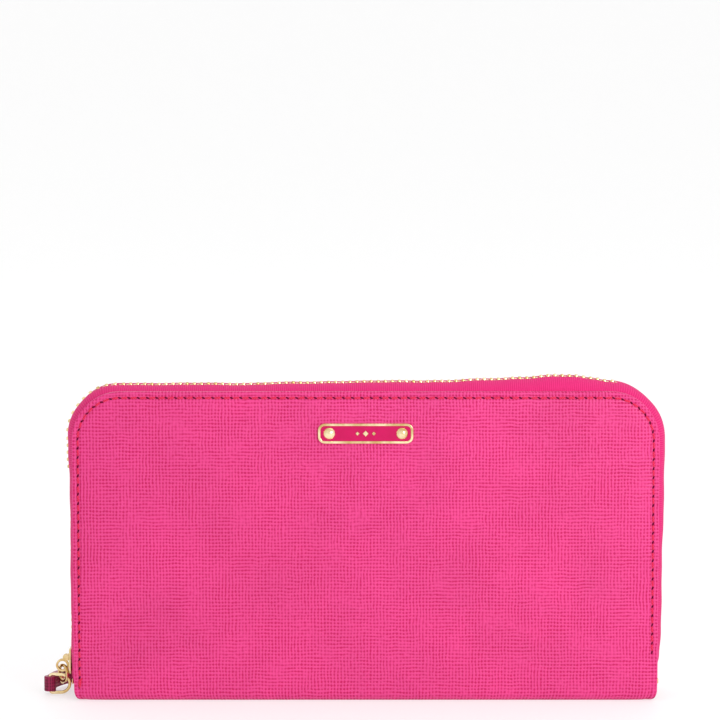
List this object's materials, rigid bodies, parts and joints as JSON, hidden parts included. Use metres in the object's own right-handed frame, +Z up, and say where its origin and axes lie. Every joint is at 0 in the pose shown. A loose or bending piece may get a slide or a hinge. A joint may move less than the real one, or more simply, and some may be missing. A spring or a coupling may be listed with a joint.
{
  "type": "zip-around wristlet wallet",
  "caption": "Long zip-around leather wallet standing on its spine, with card pockets, bill compartments, a zipped coin pocket and a chain pull that carries a wrist strap.",
  "frame": {"origin": "centre of the flat underside of the spine, on the surface the wallet stands on", "axes": "+Z up from the spine to the zipper, +X along the spine to the right, the front cover with the plate faces -Y"},
  "size_m": [0.1993, 0.0602, 0.1011],
  "materials": {
    "hide": "embossed cross-grain leather",
    "inner_leather": "smooth lining leather",
    "strap_leather": "embossed cross-grain leather",
    "lining": "woven lining",
    "tape": "woven zipper tape",
    "foam": "thin padding",
    "board": "pressed fibre board",
    "gold": "polished pale gold plating",
    "enamel": "glossy enamel"
  },
  "bodies": {
    "wallet_core": {"spine_leather": "hide", "spine_board": "board", "spine_lining": "lining", "zip_end_left": "tape", "zip_end_right": "tape", "zip_end_teeth": "gold", "top_stops": "gold", "bottom_stop": "gold", "coin_pocket_front": "inner_leather", "coin_pocket_back": "inner_leather", "coin_pocket_gusset": "inner_leather", "coin_zip_tape": "tape", "coin_zip_teeth": "gold", "coin_zip_stops": "gold", "gusset_front_left": "inner_leather", "gusset_front_right": "inner_leather", "gusset_back_left": "inner_leather", "gusset_back_right": "inner_leather"},
    "front_cover": {"front_leather": "hide", "front_foam": "foam", "front_board": "board", "front_lining": "lining", "front_card_base": "inner_leather", "front_card_pocket_1": "inner_leather", "front_card_pocket_2": "inner_leather", "front_card_pocket_3": "inner_leather", "front_card_pocket_4": "inner_leather", "front_zip_tape": "tape", "front_zip_teeth": "gold", "plaque_frame": "gold", "plaque_enamel": "enamel", "plaque_ornament": "gold", "plaque_studs": "gold", "plaque_washers": "gold"},
    "back_cover": {"back_leather": "hide", "back_foam": "foam", "back_board": "board", "back_lining": "lining", "back_card_base": "inner_leather", "back_card_pocket_1": "inner_leather", "back_card_pocket_2": "inner_leather", "back_card_pocket_3": "inner_leather", "back_card_pocket_4": "inner_leather", "back_zip_tape": "tape", "back_zip_teeth": "gold"},
    "zip_slider": {"slider_body": "gold", "slider_bridge": "gold"},
    "pull": {"pull_link": "gold"},
    "chain_ring": {"oval_ring": "gold"},
    "strap_carrier": {"strap_ring": "gold"},
    "strap": {"wrist_strap": "strap_leather", "strap_stud": "gold"},
    "coin_zip_slider": {"coin_slider": "gold"},
    "coin_zip_pull": {"coin_pull": "gold"}
  },
  "joints": [
    {"name": "front_cover_hinge", "type": "hinge", "parent": "wallet_core", "child": "front_cover", "pos_m": [0, -0.009, 0.003], "axis": [1, 0, 0], "range_deg": [0, 38], "deforming": ["gusset_front_left", "gusset_front_right", "front_zip_teeth"]},
    {"name": "back_cover_hinge", "type": "hinge", "parent": "wallet_core", "child": "back_cover", "pos_m": [0, 0.009, 0.003], "axis": [-1, 0, 0], "range_deg": [0, 38], "deforming": ["gusset_back_left", "gusset_back_right", "back_zip_teeth"]},
    {"name": "zip_slide", "type": "slide", "parent": "wallet_core", "child": "zip_slider", "axis": [0, 0, 1], "range_m": [0, 0.062], "deforming": ["zip_end_teeth"]},
    {"name": "pull_link_hinge", "type": "hinge", "parent": "zip_slider", "child": "pull", "pos_m": [-0.0971, 0, 0.012], "axis": [0, 1, 0], "range_deg": [0, 100]},
    {"name": "oval_ring_swing", "type": "hinge", "parent": "pull", "child": "chain_ring", "pos_m": [-0.09828, 0, 0.00935], "axis": [1, 0, 0], "range_deg": [-6, 20]},
    {"name": "strap_ring_swing", "type": "hinge", "parent": "chain_ring", "child": "strap_carrier", "pos_m": [-0.0979, -0.0005, 0.0064], "axis": [0, 1, 0], "range_deg": [0, 10]},
    {"name": "wrist_strap_swing", "type": "hinge", "parent": "strap_carrier", "child": "strap", "pos_m": [-0.1023, -0.0005, 0.0034], "axis": [0, 0, 1], "range_deg": [0, 100]},
    {"name": "coin_zip_slide", "type": "slide", "parent": "wallet_core", "child": "coin_zip_slider", "axis": [1, 0, 0], "range_m": [0, 0.124], "deforming": ["coin_zip_teeth"]},
    {"name": "coin_pull_hinge", "type": "hinge", "parent": "coin_zip_slider", "child": "coin_zip_pull", "pos_m": [-0.068, 0, 0.083], "axis": [0, 1, 0], "range_deg": [-45, 0]}
  ]
}
